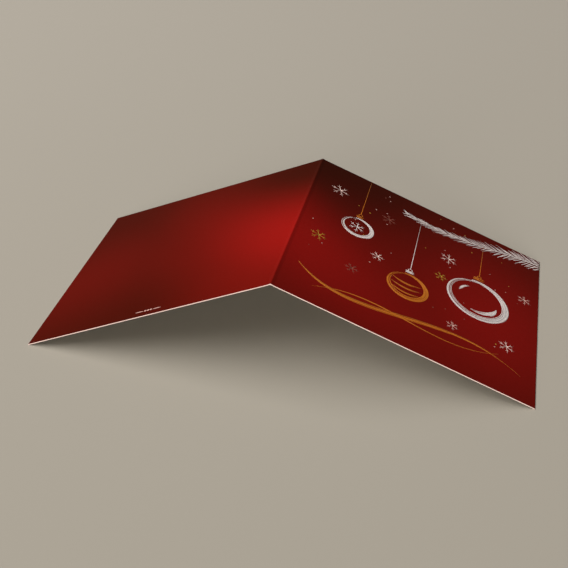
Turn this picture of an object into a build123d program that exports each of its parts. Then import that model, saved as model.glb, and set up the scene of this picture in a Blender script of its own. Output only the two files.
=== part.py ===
# Square greeting card, one sheet of board scored and folded once, standing as a low tent on its two
# opening edges. The fold runs along Y, the back panel falls to -X and the front panel to +X, and the
# table is at Z = 0 under the middle of the card.
from build123d import *
from math import cos, radians, sin, tan
import os

# The board and the folded card
panel_width = 148.0  # from the ridge of the fold to the opening edge, along the printed face
panel_height = 148.0  # along the fold
board_thickness = 0.5
panel_slope = 22.5  # how far each panel falls below level, in degrees

# The crease, where the scored board stands steeper than the panels
crease_slope = 29.0
crease_flank = 1.3  # straight part of the steep band on each side of the ridge
crease_hollow_radius = 6.0  # printed face, where the steep band eases into the flat panel
fold_inner_radius = 0.3

# The bead that the creasing rule leaves along the inside of the fold
bead_width = 0.8
bead_sag = 0.12  # how far the bead's round face bulges past its two edges

# Arc lengths and the flat length that is left for each panel
ridge_radius = fold_inner_radius + board_thickness
ridge_arc = ridge_radius * radians(crease_slope)
hollow_arc = crease_hollow_radius * radians(crease_slope - panel_slope)
panel_flat = panel_width - ridge_arc - crease_flank - hollow_arc

# Height of the ridge, from how far the printed face falls to the opening edge
crease_fall = (
    ridge_radius * (1 - cos(radians(crease_slope)))
    + crease_flank * sin(radians(crease_slope))
    + crease_hollow_radius * (cos(radians(panel_slope)) - cos(radians(crease_slope)))
)
foot_depth = board_thickness * cos(radians(panel_slope))
ridge_height = crease_fall + panel_flat * sin(radians(panel_slope)) + foot_depth

# Where the bead's edges lie on the two inner flanks of the crease
bead_edge_x = bead_width / 2
inner_apex_height = ridge_height - board_thickness
bead_edge_height = (
    inner_apex_height
    - fold_inner_radius * (1 - cos(radians(crease_slope)))
    - (bead_edge_x - fold_inner_radius * sin(radians(crease_slope))) * tan(radians(crease_slope))
)
bead_root_height = ridge_height - board_thickness / 2

with BuildPart() as card:
    with BuildSketch(Plane.XZ) as section:
        # The board's cross section, from the ridge down the front panel and mirrored to the back panel
        with BuildLine() as printed_face:
            ridge = JernArc((0, ridge_height), (1, 0), ridge_radius, -crease_slope)
            flank = PolarLine(ridge @ 1, crease_flank, direction=ridge % 1)
            hollow = JernArc(flank @ 1, flank % 1, crease_hollow_radius, crease_slope - panel_slope)
            panel = PolarLine(hollow @ 1, panel_flat, direction=hollow % 1)
            mirror(about=Plane.YZ)
            offset(amount=board_thickness, side=Side.RIGHT)
        make_face()
        # The bead fills the sharp inner corner of the fold
        with BuildLine() as bead_outline:
            Polyline(
                (-bead_edge_x, bead_edge_height),
                (0, bead_root_height),
                (bead_edge_x, bead_edge_height),
            )
            SagittaArc((bead_edge_x, bead_edge_height), (-bead_edge_x, bead_edge_height), bead_sag)
        make_face()
    extrude(amount=panel_height / 2, both=True)

card.part.label = "card"

os.makedirs("parts", exist_ok=True)
export_step(card.part, "parts/card.step")
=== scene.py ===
# Square greeting card: one sheet of printed board, scored once and standing as a low tent.
import math
import random

import bpy
from mathutils import Matrix, Vector


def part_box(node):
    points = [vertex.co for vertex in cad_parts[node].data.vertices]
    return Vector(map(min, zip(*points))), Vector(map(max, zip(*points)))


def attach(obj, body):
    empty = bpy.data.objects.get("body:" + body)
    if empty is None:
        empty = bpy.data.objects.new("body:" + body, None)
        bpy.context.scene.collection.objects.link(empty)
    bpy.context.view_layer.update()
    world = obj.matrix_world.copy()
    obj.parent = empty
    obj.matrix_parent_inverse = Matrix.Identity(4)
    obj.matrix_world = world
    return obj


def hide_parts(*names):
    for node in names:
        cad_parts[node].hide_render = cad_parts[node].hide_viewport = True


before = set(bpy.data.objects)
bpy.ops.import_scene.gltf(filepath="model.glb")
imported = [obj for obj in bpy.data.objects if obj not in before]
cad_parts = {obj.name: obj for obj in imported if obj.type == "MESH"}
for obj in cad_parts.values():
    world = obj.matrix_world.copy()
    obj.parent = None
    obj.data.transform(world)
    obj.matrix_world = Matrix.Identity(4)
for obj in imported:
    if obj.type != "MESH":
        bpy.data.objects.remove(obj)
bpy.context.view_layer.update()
mm = 0.001
print("card: frame loaded")


# Colours and shader nodes

def linearColor(code):
    # sRGB hex to the linear values that shaders take
    channels = [int(code[i:i + 2], 16) / 255 for i in (1, 3, 5)]
    return [c / 12.92 if c <= 0.04045 else ((c + 0.055) / 1.055) ** 2.4 for c in channels] + [1.0]


def addNode(tree, kind, settings={}, inputs={}):
    # one node with its settings, its socket values and what is plugged into it
    node = tree.nodes.new(kind)
    for name, value in settings.items():
        setattr(node, name, value)
    for name, value in inputs.items():
        if isinstance(value, bpy.types.NodeSocket):
            tree.links.new(value, node.inputs[name])
        else:
            node.inputs[name].default_value = value
    return node


def startMaterial(name):
    material = bpy.data.materials.new(name)
    material.use_nodes = True
    material.node_tree.nodes.clear()
    return material, material.node_tree


def finishMaterial(tree, shaderInputs):
    shader = addNode(tree, "ShaderNodeBsdfPrincipled", inputs=shaderInputs)
    addNode(tree, "ShaderNodeOutputMaterial", inputs={"Surface": shader.outputs["BSDF"]})


# Modelling helpers

def startPiece():
    if bpy.context.object and bpy.context.object.mode != "OBJECT":
        bpy.ops.object.mode_set(mode="OBJECT")
    bpy.ops.object.select_all(action="DESELECT")


def selectPoints(piece, test):
    # leaves the piece in edit mode, with the points that pass the test and what lies between them selected
    bpy.ops.object.mode_set(mode="OBJECT")
    mesh = piece.data
    chosen = [test(point.co) for point in mesh.vertices]
    mesh.vertices.foreach_set("select", chosen)
    mesh.edges.foreach_set("select", [all(chosen[i] for i in edge.vertices) for edge in mesh.edges])
    mesh.polygons.foreach_set("select", [all(chosen[i] for i in face.vertices) for face in mesh.polygons])
    bpy.ops.object.mode_set(mode="EDIT")


def applyModifier(piece, kind, settings):
    modifier = piece.modifiers.new(kind.title(), kind)
    for name, value in settings.items():
        setattr(modifier, name, value)
    bpy.ops.object.modifier_apply(modifier=modifier.name)


# The board, folded and standing

board = {
    "thickness": 0.5 * mm,
    "slope": math.radians(22.5),  # fall of each panel from level
    "creaseSlope": math.radians(29.0),  # fall of the scored band beside the fold
    "creaseFlank": 1.3 * mm,
    "hollowRadius": 6.0 * mm,
    "innerRadius": 0.3 * mm,
    "beadHalf": 0.4 * mm,
    "beadSag": 0.12 * mm,
    "arcSteps": 10,
    "beadSteps": 5,
    "slack": 0.01 * mm,  # how far off a point may lie and still count as on its line
    "merge": 0.001 * mm,
    "smoothUpTo": math.radians(20),
}
cardLow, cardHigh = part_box("card")
slopeCos, slopeSin = math.cos(board["slope"]), math.sin(board["slope"])
creaseCos, creaseSin = math.cos(board["creaseSlope"]), math.sin(board["creaseSlope"])
ridgeRadius = board["innerRadius"] + board["thickness"]
footHeight = board["thickness"] * slopeCos  # printed corner of the opening edge
creaseEnd = (
    ridgeRadius * creaseSin + board["creaseFlank"] * creaseCos
    + board["hollowRadius"] * (creaseSin - slopeSin)
)
panelFlat = (cardHigh.x - creaseEnd) / slopeCos
panelTop = footHeight + panelFlat * slopeSin
panelPeak = footHeight + cardHigh.x * math.tan(board["slope"])  # where the two printed planes would meet
panelEnd = cardHigh.x / slopeCos  # opening edge, along the printed plane from that line


def roundCrease(sheet):
    # the crease is drawn out of the panel's upper edge: a hollow, the steep flank and the round ridge
    hollow, flank = board["hollowRadius"], board["creaseFlank"]
    hollowAxis = (creaseEnd + hollow * slopeSin, 0, panelTop + hollow * slopeCos)
    ridgeAxis = (0, 0, cardHigh.z - ridgeRadius)
    # the bead covers the flank's last part
    beadFlank = (board["beadHalf"] - board["innerRadius"] * creaseSin) / creaseCos
    flankSteps = [flank - beadFlank] + [beadFlank / board["beadSteps"]] * board["beadSteps"]
    selectPoints(sheet, lambda point: point.z > panelTop - board["slack"])
    bpy.ops.mesh.select_mode(type="EDGE")
    bend = board["creaseSlope"] - board["slope"]
    bpy.ops.mesh.spin(steps=board["arcSteps"], angle=bend, center=hollowAxis, axis=(0, -1, 0))
    for length in flankSteps:
        step = (-length * creaseCos, 0, length * creaseSin)
        bpy.ops.mesh.extrude_region_move(TRANSFORM_OT_translate={"value": step})
    bpy.ops.mesh.spin(
        steps=board["arcSteps"], angle=board["creaseSlope"], center=ridgeAxis, axis=(0, 1, 0)
    )
    bpy.ops.mesh.select_all(action="SELECT")
    bpy.ops.mesh.remove_doubles(threshold=board["merge"])
    bpy.ops.object.mode_set(mode="OBJECT")


def shapeBead(sheet):
    # the creasing rule leaves a round bead along the inside of the fold
    innerTop = cardHigh.z - 0.9 * board["thickness"]  # between the inner and the printed face
    reach = board["beadHalf"] + board["slack"]
    bead = [point for point in sheet.data.vertices if abs(point.co.x) < reach and point.co.z < innerTop]
    beadEdge = min(point.co.z for point in bead)
    for point in bead:
        point.co.z = beadEdge - board["beadSag"] * max(0, 1 - (point.co.x / board["beadHalf"]) ** 2)


def buildBoard():
    # printed face of the front panel, from its opening edge up to the crease
    startPiece()
    bpy.ops.mesh.primitive_plane_add(size=1)
    sheet = bpy.context.object
    sheet.name = "cardBoard"
    sheet.scale = (panelFlat, cardHigh.y - cardLow.y, 1)
    sheet.rotation_euler = (0, board["slope"], 0)
    sheet.location = ((cardHigh.x + creaseEnd) / 2, 0, (footHeight + panelTop) / 2)
    bpy.ops.object.transform_apply(location=True, rotation=True, scale=True)
    roundCrease(sheet)
    applyModifier(sheet, "MIRROR", {"use_axis": (True, False, False), "merge_threshold": board["slack"]})
    bpy.ops.object.mode_set(mode="EDIT")
    bpy.ops.mesh.select_all(action="SELECT")
    bpy.ops.mesh.normals_make_consistent(inside=False)
    bpy.ops.object.mode_set(mode="OBJECT")
    if sum(face.normal.z for face in sheet.data.polygons) < 0:
        sheet.data.flip_normals()
    for material in (offsetPrintedBoard(), cutBoardEdge(), uncoatedBoard()):
        sheet.data.materials.append(material)
    applyModifier(sheet, "SOLIDIFY", {
        "thickness": board["thickness"], "offset": -1, "use_even_offset": True,
        "material_offset_rim": 1, "material_offset": 2,
    })
    shapeBead(sheet)
    bpy.ops.object.shade_smooth_by_angle(angle=board["smoothUpTo"])
    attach(sheet, "root")
    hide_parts("card")


# Offset print on coated folding board, under a thin matt varnish: a closed red ground with a low sheen,
# which shows a faint mottle of the ink and the tooth of the board only close by

ground = {
    "shade": "#2A0C02",  # ink at its heaviest
    "glow": "#A01511",
    "coverLift": "#000706",  # a little green and blue is added on the cover, which makes its red a touch cooler than the back's
    "coverFade": 1.0,  # mm on each side of the fold, over which that comes in
    "level": 0.125,  # how much glow there is all over
    # soft glows: amount, centre from the fold and from the upper edge, radius along and across, turn
    "glows": [
        (0.485, (-5, 85), (170, 95), -75),
        (0.29, (0, 85), (175, 50), -40),
        (0.585, (120, 90), (125, 105), 90),
        (0.165, (-140, 85), (80, 140), -75),
        (-0.36, (-15, 25), (90, 80), 40),
    ],
    "shine": 0.005,  # the varnish is matt and hardly mirrors the room
    "roughness": (0.34, 0.42),
    "mottleSize": 1.4,  # mm
    "mottle": (0.95, 1.05),
    "toothSize": 0.16,  # mm, the coating's grain, drawn coarser than its real 0.03 mm so that it shows
    "toothHeight": 0.003,  # mm
}


def groundColor(tree, place):
    # where the ink is on the flat sheet: along it from the fold, and down from its upper edge, in mm
    flat = addNode(tree, "ShaderNodeMapping", {"vector_type": "POINT"}, {
        "Vector": place.outputs["Object"],
        "Location": (0, -cardHigh.y / mm, 0),
        "Scale": (1 / slopeCos / mm, 1 / mm, 0),
    })
    total = None
    for amount, centre, radius, turn in ground["glows"]:
        spot = addNode(tree, "ShaderNodeMapping", {"vector_type": "TEXTURE"}, {
            "Vector": flat.outputs["Vector"],
            "Location": (centre[0], -centre[1], 0),
            "Rotation": (0, 0, math.radians(turn)),
            "Scale": (radius[0], radius[1], 1),
        })
        ball = addNode(tree, "ShaderNodeTexGradient", {"gradient_type": "SPHERICAL"}, {
            "Vector": spot.outputs["Vector"],
        })
        soft = addNode(tree, "ShaderNodeMapRange", {"interpolation_type": "SMOOTHSTEP"}, {
            "Value": ball.outputs["Fac"], "To Max": amount,
        })
        add = addNode(tree, "ShaderNodeMath", {"operation": "ADD"}, {
            0: soft.outputs["Result"], 1: ground["level"] if total is None else total,
        })
        total = add.outputs["Value"]
    mix = addNode(tree, "ShaderNodeMix", {"data_type": "RGBA"}, {
        "Factor": total, "A": linearColor(ground["shade"]), "B": linearColor(ground["glow"]),
    })
    along = addNode(tree, "ShaderNodeSeparateXYZ", inputs={"Vector": flat.outputs["Vector"]})
    cover = addNode(tree, "ShaderNodeMapRange", inputs={
        "Value": along.outputs["X"],
        "From Min": -ground["coverFade"], "From Max": ground["coverFade"],
    })
    lifted = addNode(tree, "ShaderNodeMix", {"data_type": "RGBA", "blend_type": "ADD"}, {
        "Factor": cover.outputs["Result"], "A": mix.outputs[2], "B": linearColor(ground["coverLift"]),
    })
    return lifted.outputs[2]


def offsetPrintedBoard():
    material, tree = startMaterial("offsetPrintedFoldingBoard")
    place = addNode(tree, "ShaderNodeTexCoord")
    mottle = addNode(tree, "ShaderNodeTexNoise", inputs={
        "Vector": place.outputs["Object"], "Scale": 1 / (ground["mottleSize"] * mm),
        "Detail": 4.0, "Roughness": 0.7,
    })
    amount = addNode(tree, "ShaderNodeMapRange", inputs={
        "Value": mottle.outputs["Fac"], "From Min": 0.3, "From Max": 0.7,
        "To Min": ground["mottle"][0], "To Max": ground["mottle"][1],
    })
    color = addNode(tree, "ShaderNodeVectorMath", {"operation": "SCALE"}, {
        0: groundColor(tree, place), "Scale": amount.outputs["Result"],
    })
    tooth = addNode(tree, "ShaderNodeTexNoise", inputs={
        "Vector": place.outputs["Object"], "Scale": 1 / (ground["toothSize"] * mm),
        "Detail": 3.0, "Roughness": 0.6,
    })
    sheen = addNode(tree, "ShaderNodeMapRange", inputs={
        "Value": tooth.outputs["Fac"], "From Min": 0.3, "From Max": 0.7,
        "To Min": ground["roughness"][0], "To Max": ground["roughness"][1],
    })
    bump = addNode(tree, "ShaderNodeBump", inputs={
        "Height": tooth.outputs["Fac"], "Strength": 1.0, "Distance": ground["toothHeight"] * mm,
    })
    finishMaterial(tree, {
        "Base Color": color.outputs["Vector"], "Roughness": sheen.outputs["Result"],
        "Specular IOR Level": ground["shine"], "Normal": bump.outputs["Normal"],
    })
    return material


# Guillotined edge of the board: bleached fibre in layers along the sheet, a little pink from the ink

cutEdge = {
    "fibre": "#FFE2D8",
    # darker tone for the low parts of the fibre bump: partly the fibre's own tone, partly painted shade in
    # the hollows
    "hollow": "#EECEC2",
    "fibreLength": 0.7,  # mm
    "fibreWidth": 0.07,  # mm, coarser than the real 0.03 mm so that it shows
    "fibreHeight": 0.02,  # mm
}


def cutBoardEdge():
    material, tree = startMaterial("cutEdgeOfFoldingBoard")
    place = addNode(tree, "ShaderNodeTexCoord")
    # both panels have their layers along their own slope, so the pattern is mirrored at the fold
    mirrored = addNode(tree, "ShaderNodeVectorMath", {"operation": "ABSOLUTE"}, {
        0: place.outputs["Object"],
    })
    layers = addNode(tree, "ShaderNodeMapping", {"vector_type": "TEXTURE"}, {
        "Vector": mirrored.outputs["Vector"],
        "Rotation": (0, board["slope"], 0),
        "Scale": (cutEdge["fibreLength"] * mm, cutEdge["fibreLength"] * mm, cutEdge["fibreWidth"] * mm),
    })
    fibres = addNode(tree, "ShaderNodeTexNoise", inputs={
        "Vector": layers.outputs["Vector"], "Scale": 1.0, "Detail": 3.0, "Roughness": 0.55,
    })
    spread = addNode(tree, "ShaderNodeMapRange", inputs={
        "Value": fibres.outputs["Fac"], "From Min": 0.35, "From Max": 0.6,
    })
    # the noise that lowers the bump also darkens the colour: partly fibre tone, partly painted shade in the
    # hollows
    mix = addNode(tree, "ShaderNodeMix", {"data_type": "RGBA"}, {
        "Factor": spread.outputs["Result"],
        "A": linearColor(cutEdge["hollow"]), "B": linearColor(cutEdge["fibre"]),
    })
    bump = addNode(tree, "ShaderNodeBump", inputs={
        "Height": fibres.outputs["Fac"], "Strength": 1.0, "Distance": cutEdge["fibreHeight"] * mm,
    })
    finishMaterial(tree, {
        "Base Color": mix.outputs[2], "Roughness": 0.92, "Specular IOR Level": 0.2,
        "Normal": bump.outputs["Normal"],
    })
    return material


# Uncoated inside of the board: matt off-white fibre with a faint cloud where the sheet is denser

inside = {
    "dense": "#D8D6D2",
    "open": "#E5E3DF",
    "cloudSize": 6.0,  # mm
    "fibreSize": 0.35,  # mm, tufts of fibre, as single ones are too fine to show
    "fibreHeight": 0.012,  # mm
}


def uncoatedBoard():
    material, tree = startMaterial("uncoatedFoldingBoard")
    place = addNode(tree, "ShaderNodeTexCoord")
    cloud = addNode(tree, "ShaderNodeTexNoise", inputs={
        "Vector": place.outputs["Object"], "Scale": 1 / (inside["cloudSize"] * mm),
        "Detail": 4.0, "Roughness": 0.65,
    })
    fibres = addNode(tree, "ShaderNodeTexNoise", inputs={
        "Vector": place.outputs["Object"], "Scale": 1 / (inside["fibreSize"] * mm),
        "Detail": 4.0, "Roughness": 0.7, "Distortion": 1.2,
    })
    spread = addNode(tree, "ShaderNodeMapRange", inputs={
        "Value": cloud.outputs["Fac"], "From Min": 0.35, "From Max": 0.65,
    })
    mix = addNode(tree, "ShaderNodeMix", {"data_type": "RGBA"}, {
        "Factor": spread.outputs["Result"],
        "A": linearColor(inside["dense"]), "B": linearColor(inside["open"]),
    })
    bump = addNode(tree, "ShaderNodeBump", inputs={
        "Height": fibres.outputs["Fac"], "Strength": 1.0, "Distance": inside["fibreHeight"] * mm,
    })
    finishMaterial(tree, {
        "Base Color": mix.outputs[2], "Roughness": 0.88, "Specular IOR Level": 0.2,
        "Normal": bump.outputs["Normal"],
    })
    return material


buildBoard()
print("card: board folded")


# Screen printed inks of the ornaments: opaque pale silver and ochre gold, thick enough to stand a little
# proud and dried to a satin. Drawn as by a dry brush, so every wide mark is a row of bristle lines that start
# and end raggedly, in a full, a thin and a worn tone. The snow has inks of its own.

brush = {
    "bristle": 0.34,  # mm, width of one bristle's line
    "overlap": 1.15,  # how much wider than its share of the stroke a bristle's line is
    "dryShare": 0.28,  # of the bristles that run out of ink on the way
    "dryFrom": (0.3, 0.85),  # where along the stroke they do
    "stray": 0.25,  # how far a line wanders, as a share of its own room
    "strayTurns": 9,  # radians of its wave along the whole stroke
    "tip": 0.05,  # mm, half width where a line ends
    "tipPoints": (4, 5),  # points over which it swells at its start and thins at its end
    "tipRound": 0.7,  # lower makes blunter ends
    "fewestPoints": 4,
    "rise": 0.09,  # height of a line as a share of its width
    "toneShares": (0.7, 0.2, 0.1),  # full, thin and worn lines
    "grain": 0.25,  # mm, mottle of the dry ink
    "grainHeight": 0.004,  # mm
    "merge": 0.00002,  # mm
    "trim": 0.02,  # mm that is left between cut off ink and the card's edge
    "trimMerge": 0.0001,  # mm
}
silverTones = {"Full": "#FFF1EB", "Thin": "#E0D6D3", "Worn": "#B8AEAB"}
goldTones = {"Full": "#D5791C", "Thin": "#BA6515", "Worn": "#934B0C"}
# three quiet tones for the faint flakes, the dots and the back rule, and a white for the clear flakes
snowTones = {"Pale": "#E0AFA2", "Gold": "#B98C2A", "Brown": "#8A4A3C", "White": "#FFDCD0"}


def brushedInk(name, code):
    material, tree = startMaterial(name)
    place = addNode(tree, "ShaderNodeTexCoord")
    grain = addNode(tree, "ShaderNodeTexNoise", inputs={
        "Vector": place.outputs["Object"], "Scale": 1 / (brush["grain"] * mm),
        "Detail": 3.0, "Roughness": 0.6,
    })
    spread = addNode(tree, "ShaderNodeMapRange", inputs={
        "Value": grain.outputs["Fac"], "From Min": 0.3, "From Max": 0.6, "To Min": 0.82, "To Max": 1.0,
    })
    shade = addNode(tree, "ShaderNodeVectorMath", {"operation": "SCALE"}, {
        0: linearColor(code)[:3], "Scale": spread.outputs["Result"],
    })
    bump = addNode(tree, "ShaderNodeBump", inputs={
        "Height": grain.outputs["Fac"], "Strength": 1.0, "Distance": brush["grainHeight"] * mm,
    })
    finishMaterial(tree, {
        "Base Color": shade.outputs["Vector"], "Roughness": 0.5, "Specular IOR Level": 0.2,
        "Normal": bump.outputs["Normal"],
    })
    return material


silverInk = [brushedInk("silverScreenInk" + name, code) for name, code in silverTones.items()]
goldInk = [brushedInk("goldScreenInk" + name, code) for name, code in goldTones.items()]
snowInk = [brushedInk("snowScreenInk" + name, code) for name, code in snowTones.items()]


def startInk(name, inks):
    # lines of ink are drawn flat, in mm from the fold and from the upper edge
    startPiece()
    bpy.ops.object.add(type="CURVE")
    ink = bpy.context.object
    ink.name = name
    ink.data.dimensions = "3D"
    ink.data.twist_mode = "Z_UP"
    ink.data.bevel_depth = mm  # so that a point's radius is its half width in mm
    ink.data.bevel_resolution = 1
    ink.data.use_fill_caps = True
    for material in inks:
        ink.data.materials.append(material)
    return ink


def inkLine(ink, points, halfWidths, tone=0):
    spline = ink.data.splines.new("POLY")
    spline.points.add(len(points) - 1)
    for point, place, halfWidth in zip(spline.points, points, halfWidths):
        point.co = (place[0] * mm, -place[1] * mm, 0, 1)
        point.radius = halfWidth
    spline.material_index = tone
    spline.use_smooth = True


def brushStroke(ink, path, widthAt, ragged, draw):
    # a row of bristle lines along the path, whose width is given by the share of its length
    samples = 20
    widest = max(widthAt(i / samples) for i in range(samples + 1))
    count = max(2, round(widest / brush["bristle"]))
    steps = len(path) - 1
    swelling, thinning = brush["tipPoints"]
    for bristle in range(count):
        side = (bristle + 0.5) / count - 0.5
        first = int(steps * ragged[0] * draw.random() ** 2)
        last = steps - int(steps * ragged[1] * draw.random() ** 2)
        if draw.random() < brush["dryShare"]:
            last = int(last * draw.uniform(*brush["dryFrom"]))
        tone = draw.choices((0, 1, 2), brush["toneShares"])[0]
        stray = draw.uniform(-brush["stray"], brush["stray"]) / count
        points, halfWidths = [], []
        for i in range(first, last + 1):
            ahead, behind = path[min(i + 1, steps)], path[max(i - 1, 0)]
            along = (ahead - behind).normalized()
            width = widthAt(i / steps)
            drift = stray * math.sin(i / steps * brush["strayTurns"] + bristle)
            points.append(path[i] + Vector((-along.y, along.x)) * width * (side + drift))
            ends = min(1, (i - first + 0.5) / swelling, (last - i + 0.5) / thinning)
            halfWidth = brush["overlap"] * width / count / 2 * ends ** brush["tipRound"]
            halfWidths.append(max(brush["tip"], halfWidth))
        if len(points) >= brush["fewestPoints"]:
            inkLine(ink, points, halfWidths, tone)


def arcPath(centre, radius, start, sweep, steps, shrink=0):
    # angles in degrees, 0 to the right and 90 downwards on the sheet
    path = []
    for i in range(steps + 1):
        angle = math.radians(start + sweep * i / steps)
        reach = radius * (1 - shrink * i / steps)
        path.append(Vector(centre) + reach * Vector((math.cos(angle), math.sin(angle))))
    return path


def bentPath(first, firstHandle, lastHandle, last, steps):
    corners = [Vector(corner) for corner in (first, firstHandle, lastHandle, last)]
    path = []
    for i in range(steps + 1):
        t = i / steps
        weights = ((1 - t) ** 3, 3 * t * (1 - t) ** 2, 3 * t * t * (1 - t), t ** 3)
        path.append(sum((corner * weight for corner, weight in zip(corners, weights)), Vector((0, 0))))
    return path


def swell(width, thin=0.3, peak=0.5):
    # a brush pressed down and lifted again
    power = math.log(0.5) / math.log(peak)
    return lambda share: width * (thin + (1 - thin) * math.sin(math.pi * share ** power))


def trimToCard():
    # ink that runs over the card's upper or opening edge is cut off with it
    gap = brush["trim"] * mm
    for edge, outwards in (((0, -gap, 0), (0, 1, 0)), ((panelEnd - gap, 0, 0), (1, 0, 0))):
        bpy.ops.mesh.select_all(action="SELECT")
        bpy.ops.mesh.bisect(
            plane_co=edge, plane_no=outwards, clear_outer=True, threshold=brush["trimMerge"] * mm
        )
        bpy.ops.mesh.select_all(action="SELECT")
        bpy.ops.mesh.fill_holes(sides=0)
    bpy.ops.mesh.select_all(action="SELECT")


def finishInk(ink, side=1, trim=False, rise=brush["rise"]):
    # the lines become a mesh, are pressed flat and are laid on the printed face, half sunk into it
    bpy.ops.object.convert(target="MESH")
    bpy.ops.object.mode_set(mode="EDIT")
    bpy.ops.mesh.select_all(action="SELECT")
    bpy.ops.mesh.remove_doubles(threshold=brush["merge"] * mm)
    if trim:
        trimToCard()
    bpy.ops.mesh.normals_make_consistent(inside=False)
    bpy.ops.object.mode_set(mode="OBJECT")
    sheetX, sheetY = Vector((slopeCos, 0, -side * slopeSin)), Vector((0, 1, 0))
    axes = Matrix((sheetX, sheetY, sheetX.cross(sheetY) * rise)).transposed().to_4x4()
    origin = Matrix.Translation((0, cardHigh.y, panelPeak))
    ink.data.transform(origin @ axes)
    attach(ink, "root")


# A snowflake of six arms with two branches each

flake = {
    "arms": 6,
    "rootGap": 0.1,  # mm from the middle to where the arms start
    "armHalves": (0.26, 0.2, 0.05),  # mm, half widths at root, middle and tip
    "branchHalves": (0.17, 0.14, 0.05),
    "branchAt": 0.53,  # of the arm, and a little more or less to each side
    "branchStagger": 0.03,
    "branchLean": 0.8,  # radians
    "branchLength": 0.32,  # of the arm
}


def snowflake(ink, centre, size, turn, tone=0):
    for arm in range(flake["arms"]):
        angle = math.radians(turn + 360 / flake["arms"] * arm)
        out = Vector((math.cos(angle), math.sin(angle)))
        root = Vector(centre) + out * flake["rootGap"]
        inkLine(ink, [root, root + out * size * 0.5, root + out * size], flake["armHalves"], tone)
        for side in (-1, 1):
            start = root + out * size * (flake["branchAt"] + flake["branchStagger"] * side)
            lean = angle + side * flake["branchLean"]
            way = Vector((math.cos(lean), math.sin(lean)))
            length = flake["branchLength"]
            points = [start, start + way * size * (length / 2), start + way * size * length]
            inkLine(ink, points, flake["branchHalves"], tone)


# Baubles that hang on threads: a ring of one long stroke, a filling, a cap and a loop

baubles = [
    # name, centre, radius, ring width, where the thread starts, ink, filling
    ("largeBauble", (110, 74), 20.0, 4.6, 14.0, "silver", "crescent"),
    ("bandedBauble", (69, 93), 13.0, 3.2, 17.0, "gold", "bands"),
    ("smallBauble", (33, 58), 10.5, 2.8, 0.4, "silver", "flake"),
]
baubleShape = {
    "seed": 40,
    "ringInset": 0.4,  # of the ring's width
    "ringArc": (-104, 372, 104),  # start and sweep in degrees, steps
    "ringShrink": 0.07,  # its end passes inside its start
    "ringSwell": (0.2, 0.4),
    "ringRagged": (0.02, 0.22),
    # shade and gleam: share of the radius, start and sweep, steps, share of the ring's width, thin, ragged
    "crescents": [
        (0.62, (8, 96, 30), 0.75, 0.15, (0.1, 0.25)),
        (0.56, (192, 52, 16), 0.4, 0.2, (0.1, 0.2)),
    ],
    "bandHeights": (-0.3, 0.05, 0.38),  # below the middle, as a share of the radius
    "bandReach": 0.72,  # of the bauble's half width at that height
    "bandDip": 0.22,  # of the radius
    "bandWidth": 1.5,
    "bandRagged": (0.05, 0.2),
    "bandSteps": 24,
    "flakeSize": 0.5,  # of the radius
    "flakeTurn": 30,
    "capHalf": (0.12, 1.1),  # share of the radius, and mm to add
    "capHeight": (0.07, 1.5),
    "capRagged": (0.05, 0.08),
    "capSteps": 12,
    "loop": 1.2,
    "loopSink": 0.8,  # of the loop, above the cap
    "loopArc": (100, 360, 18),
    "loopHalf": 0.2,
    "threadLean": 0.4,
    "threadHalves": (0.16, 0.13, 0.1),
}


def baubleRing(ink, centre, radius, width, draw):
    shape = baubleShape
    path = arcPath(centre, radius - width * shape["ringInset"], *shape["ringArc"], shape["ringShrink"])
    brushStroke(ink, path, swell(width, *shape["ringSwell"]), shape["ringRagged"], draw)


def baubleFilling(ink, kind, centre, radius, width, draw):
    shape = baubleShape
    middle = Vector(centre)
    if kind == "crescent":
        for reach, arc, share, thin, ragged in shape["crescents"]:
            path = arcPath(centre, radius * reach, *arc)
            brushStroke(ink, path, swell(width * share, thin), ragged, draw)
    if kind == "bands":
        for height in shape["bandHeights"]:
            reach = radius * math.sqrt(1 - height ** 2) * shape["bandReach"]
            left, right = [middle + Vector((side * reach, height * radius)) for side in (-1, 1)]
            dip = Vector((0, radius * shape["bandDip"]))
            leftHandle, rightHandle = [left.lerp(right, share) + dip for share in (0.3, 0.7)]
            path = bentPath(left, leftHandle, rightHandle, right, shape["bandSteps"])
            brushStroke(ink, path, swell(shape["bandWidth"]), shape["bandRagged"], draw)
    if kind == "flake":
        snowflake(ink, centre, radius * shape["flakeSize"], shape["flakeTurn"])


def baubleCap(ink, centre, radius, hangFrom, draw):
    shape = baubleShape
    top = Vector(centre) - Vector((0, radius))
    half, height = [radius * share + added for share, added in (shape["capHalf"], shape["capHeight"])]
    steps, loop = shape["capSteps"], shape["loop"]
    path = [top + Vector((-half + 2 * half * i / steps, -height / 2)) for i in range(steps + 1)]
    brushStroke(ink, path, lambda share: height, shape["capRagged"], draw)
    loopMiddle = top - Vector((0, height + loop * shape["loopSink"]))
    ring = arcPath(loopMiddle, loop, *shape["loopArc"])
    inkLine(ink, ring, [shape["loopHalf"]] * len(ring))
    threadFoot = loopMiddle - Vector((0, loop))
    threadTop = Vector((centre[0] + shape["threadLean"], hangFrom))
    thread = [threadFoot, threadFoot.lerp(threadTop, 0.5), threadTop]
    inkLine(ink, thread, shape["threadHalves"])


def buildBaubles():
    for seed, (name, centre, radius, width, hangFrom, inkName, filling) in enumerate(baubles):
        draw = random.Random(baubleShape["seed"] + seed)
        ball = startInk(name, silverInk if inkName == "silver" else goldInk)
        baubleRing(ball, centre, radius, width, draw)
        baubleFilling(ball, filling, centre, radius, width, draw)
        finishInk(ball)
        otherName = "gold" if inkName == "silver" else "silver"
        cap = startInk(name + "Cap", goldInk if otherName == "gold" else silverInk)
        baubleCap(cap, centre, radius, hangFrom, draw)
        finishInk(cap)


# A fir twig along the upper edge, cut off with the card

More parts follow.
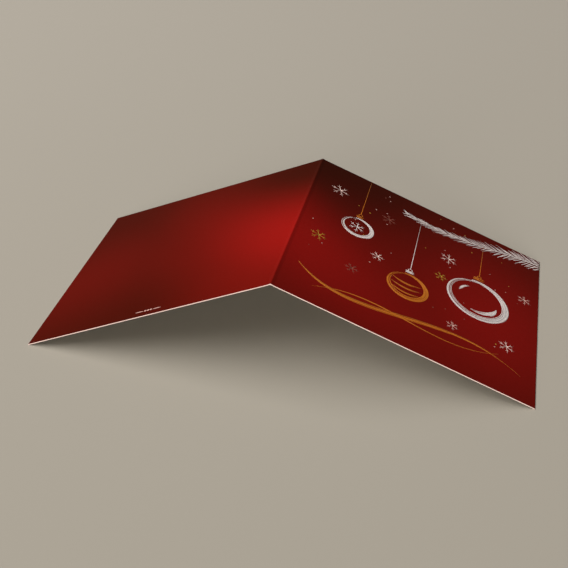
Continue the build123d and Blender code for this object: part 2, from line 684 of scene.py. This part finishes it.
twig = {
    "seed": 7,
    "stem": ((156.0, 5.0), (124.0, 4.0), (94.0, 27.0), (58.0, 17.0)),  # from outside the card to the tip
    "stemSteps": 60,
    "stemWidth": 1.1,
    "stemTaper": 0.6,  # of that width, lost on the way to the tip
    "stemRagged": (0.02, 0.1),
    "needles": 104,
    "needlePlace": (0.2, 0.8),  # of each needle's own part of the stem
    "needleLength": (11.5, 5.5),  # at the side and at the tip
    "lengthSpread": (0.75, 1.1),
    "needleHalf": 0.3,
    "needleShape": (0.55, 1, 0.95, 0.6, 0.15),  # of that half width, from root to tip
    "lean": math.radians(48),
    "leanLoss": 0.45,  # of it, towards the tip
    "leanSpread": 0.14,  # radians
    "droop": (0.02, 0.1),  # of a needle's length
}


def buildTwig():
    draw = random.Random(twig["seed"])
    ink = startInk("firTwig", silverInk)
    stem = bentPath(*twig["stem"], twig["stemSteps"])
    width, taper = twig["stemWidth"], twig["stemTaper"]
    brushStroke(ink, stem, lambda share: width * (1 - taper * share), twig["stemRagged"], draw)
    longest, shortest = twig["needleLength"]
    halfWidths = [twig["needleHalf"] * part for part in twig["needleShape"]]
    shares = [step / (len(halfWidths) - 1) for step in range(len(halfWidths))]
    for i in range(twig["needles"]):
        share = (i + draw.uniform(*twig["needlePlace"])) / twig["needles"]
        place = share * (len(stem) - 2)
        root = stem[int(place)].lerp(stem[int(place) + 1], place % 1)
        along = (stem[int(place) + 1] - stem[int(place)]).normalized()
        side = 1 if i % 2 else -1
        length = (longest + (shortest - longest) * share) * draw.uniform(*twig["lengthSpread"])
        spread = draw.uniform(-twig["leanSpread"], twig["leanSpread"])
        lean = side * (twig["lean"] * (1 - twig["leanLoss"] * share) + spread)
        out = Matrix.Rotation(lean, 2) @ along
        droop = Vector((-out.y, out.x)) * -side * length * draw.uniform(*twig["droop"])
        points = [root + out * length * t + droop * t * t for t in shares]
        inkLine(ink, points, halfWidths, draw.choices((0, 1, 2), brush["toneShares"])[0])
    finishInk(ink, trim=True)


# Two crossing gold waves under the baubles

waves = [
    # first point, its handle, the last one's handle, the last point, width
    ((9.0, 117.0), (44.0, 152.0), (92.0, 96.0), (139.0, 127.0), 3.1),
    ((20.0, 133.0), (58.0, 108.0), (88.0, 142.0), (126.0, 116.0), 0.9),
]
waveBrush = {
    "seed": 14,
    "steps": 90,
    "swell": (0.1, 0.45),  # share of the width at the ends, and where it is widest
    "ragged": (0.12, 0.2),
}


def buildWaves():
    draw = random.Random(waveBrush["seed"])
    ink = startInk("goldWave", goldInk)
    for first, firstHandle, lastHandle, last, width in waves:
        path = bentPath(first, firstHandle, lastHandle, last, waveBrush["steps"])
        brushStroke(ink, path, swell(width, *waveBrush["swell"]), waveBrush["ragged"], draw)
    finishInk(ink)


# Snowflakes and falling snow

snow = {
    "seed": 3,
    "clearTone": 3,  # which of the snow inks the clear flakes have
    # centre, arm length, turn, and for the quiet ones which of the snow inks
    "silverFlakes": [
        ((17.0, 27.0), 6.0, 10), ((130.0, 106.0), 5.0, 20), ((49.0, 78.0), 4.2, 0), ((90.0, 46.0), 5.6, 28),
    ],
    "quietFlakes": [
        ((50.0, 34.0), 5.0, 15, 2), ((87.0, 68.0), 4.2, 5, 1), ((139.0, 52.0), 4.6, 25, 0),
        ((14.0, 84.0), 5.2, 12, 1), ((37.0, 101.0), 4.4, 0, 2), ((98.0, 110.0), 4.0, 18, 0),
    ],
    "dots": 44,
    "dotField": ((5, 143), (4, 112)),  # from the fold, and from the upper edge
    "dotRadius": (0.22, 0.5),
    "dotSteps": 6,
    "dotShares": (0.5, 0.2, 0.3),  # of the three quiet tones
    "quietRise": 0.05,  # the quiet flakes and the dots are printed thinner
}


def buildSnow():
    flakes = startInk("silverFlakes", snowInk)
    for centre, size, turn in snow["silverFlakes"]:
        snowflake(flakes, centre, size, turn, snow["clearTone"])
    finishInk(flakes)
    quiet = startInk("quietFlakes", snowInk)
    for centre, size, turn, tone in snow["quietFlakes"]:
        snowflake(quiet, centre, size, turn, tone)
    draw = random.Random(snow["seed"])
    count = snow["dotSteps"]
    for _ in range(snow["dots"]):
        centre = Vector([draw.uniform(*limits) for limits in snow["dotField"]])
        radius = draw.uniform(*snow["dotRadius"])
        steps = [radius * math.cos(math.pi * i / count) for i in range(count + 1)]
        points = [centre + Vector((step, 0)) for step in steps]
        halfWidths = [max(brush["tip"], math.sqrt(radius ** 2 - step ** 2)) for step in steps]
        inkLine(quiet, points, halfWidths, draw.choices((0, 1, 2), snow["dotShares"])[0])
    finishInk(quiet, rise=snow["quietRise"])


# Small rule with three diamonds near the lower edge of the back cover

backRule = {
    "middle": (-73.0, 143.0),
    "lineLength": 5.2,
    "lineHalf": 0.34,
    "diamondHalf": 0.8,
    "diamondStep": 1.7,
    "gap": 0.2,  # between the outer diamonds and the lines
    "rise": 0.035,  # printed thinner than the cover's lines
}


def buildBackRule():
    ink = startInk("backRule", snowInk)
    middle = Vector(backRule["middle"])
    tip, tall, half = brush["tip"], backRule["diamondHalf"], backRule["lineHalf"]
    for i in (-1, 0, 1):
        centre = middle + Vector((i * backRule["diamondStep"], 0))
        inkLine(ink, [centre - Vector((tall, 0)), centre, centre + Vector((tall, 0))], [tip, tall, tip])
    for side in (-1, 1):
        start = middle + Vector((side * (backRule["diamondStep"] + tall + backRule["gap"]), 0))
        end = start + Vector((side * backRule["lineLength"], 0))
        points = [start, start.lerp(end, 0.3), start.lerp(end, 0.7), end]
        inkLine(ink, points, [tip, half, half, tip])
    finishInk(ink, side=-1, rise=backRule["rise"])
    ink.data.shade_flat()


buildBaubles()
print("card: baubles hung")
buildTwig()
buildWaves()
buildSnow()
buildBackRule()
print("card: twig, waves, snow and back rule printed")


# Studio: a pale sweep under a long soft window on the left, with a low fill in front. The floor has painted
# light: its colour is lighter far left and darker near right, standing in for the window's fall-off

studio = {
    "floor": ("#B7AFA2", "#ACA496"),  # painted light: lighter far left and darker near right of the card, for the window's fall-off
    "floorFade": 1.1,  # length over which one turns into the other
    "floorFadeMiddle": (0, 0.155, 0),
    "floorFadeTurn": math.radians(-63),
    "floorSize": 9.0,
    "roomLight": 0.03,
    "backdrop": 0.42,  # how light the room is to the eye, beyond the floor
    "backdropTone": "#FFF3E2",
    "lamps": [
        # name, place, length and height, power
        ("sideWindow", (-3.46, -1.23, 4.61), (8.2, 4.65), 498.0),
        ("frontFill", (-0.98, -5.1, 1.1), (2.15, 2.15), 139.0),
    ],
}


# matt floor with painted light: its colour fades from a lighter far left to a darker near right, in place of
# the window's fall-off
def mattFloor():
    material, tree = startMaterial("mattStudioFloorWithPaintedFalloff")
    place = addNode(tree, "ShaderNodeTexCoord")
    turned = addNode(tree, "ShaderNodeMapping", {"vector_type": "TEXTURE"}, {
        "Vector": place.outputs["Object"],
        "Location": studio["floorFadeMiddle"],
        "Rotation": (0, 0, studio["floorFadeTurn"]),
    })
    across = addNode(tree, "ShaderNodeSeparateXYZ", inputs={"Vector": turned.outputs["Vector"]})
    paintedFalloff = addNode(tree, "ShaderNodeMapRange", {"interpolation_type": "SMOOTHSTEP"}, {
        "Value": across.outputs["X"],
        "From Min": -studio["floorFade"] / 2, "From Max": studio["floorFade"] / 2,
    })
    paintedBrightTone, paintedDimTone = studio["floor"]
    mix = addNode(tree, "ShaderNodeMix", {"data_type": "RGBA"}, {
        "Factor": paintedFalloff.outputs["Result"], "A": linearColor(paintedBrightTone), "B": linearColor(paintedDimTone),
    })
    finishMaterial(tree, {
        "Base Color": mix.outputs[2], "Roughness": 0.9, "Specular IOR Level": 0.1,
    })
    return material


def lightRoom():
    world = bpy.data.worlds.new("studioRoom")
    bpy.context.scene.world = world
    world.use_nodes = True
    tree = world.node_tree
    tree.nodes.clear()
    path = addNode(tree, "ShaderNodeLightPath")
    seen = addNode(tree, "ShaderNodeMath", {"operation": "ADD"}, {
        0: path.outputs["Is Camera Ray"], 1: path.outputs["Is Glossy Ray"],
    })
    seenOrThrough = addNode(tree, "ShaderNodeMath", {"operation": "ADD"}, {
        0: seen.outputs["Value"], 1: path.outputs["Is Transmission Ray"],
    })
    strength = addNode(tree, "ShaderNodeMapRange", inputs={
        "Value": seenOrThrough.outputs["Value"],
        "To Min": studio["roomLight"], "To Max": studio["backdrop"],
    })
    sky = addNode(tree, "ShaderNodeBackground", inputs={
        "Color": linearColor(studio["backdropTone"]), "Strength": strength.outputs["Result"],
    })
    addNode(tree, "ShaderNodeOutputWorld", inputs={"Surface": sky.outputs["Background"]})


def buildStudio():
    startPiece()
    bpy.ops.mesh.primitive_plane_add(size=studio["floorSize"])
    floor = bpy.context.object
    floor.name = "floor"
    floor.data.materials.append(mattFloor())
    for name, place, size, power in studio["lamps"]:
        bpy.ops.object.light_add(type="AREA", location=place)
        lamp = bpy.context.object
        lamp.name = name
        lamp.rotation_euler = (-Vector(place)).to_track_quat("-Z", "Y").to_euler()
        lamp.data.shape = "RECTANGLE"
        lamp.data.size, lamp.data.size_y = size
        lamp.data.energy = power
        lamp.visible_camera = False
    lightRoom()
    bpy.context.scene.view_settings.view_transform = "Standard"


# Camera: from the front and a little to the right, looking down on both covers

view = {
    "place": (103.95, -531.25, 349.22),  # mm
    "aim": (-12.31, 17.06, 0),  # mm
    "lens": 70.0,
    "sensor": 36.0,
    "clipStart": 0.01,
}


def buildCamera():
    place, aim = Vector(view["place"]) * mm, Vector(view["aim"]) * mm
    bpy.ops.object.camera_add(location=place)
    camera = bpy.context.object
    camera.rotation_euler = (aim - place).to_track_quat("-Z", "Y").to_euler()
    camera.data.lens = view["lens"]
    camera.data.sensor_width = view["sensor"]
    camera.data.clip_start = view["clipStart"]
    bpy.context.scene.camera = camera


buildStudio()
buildCamera()
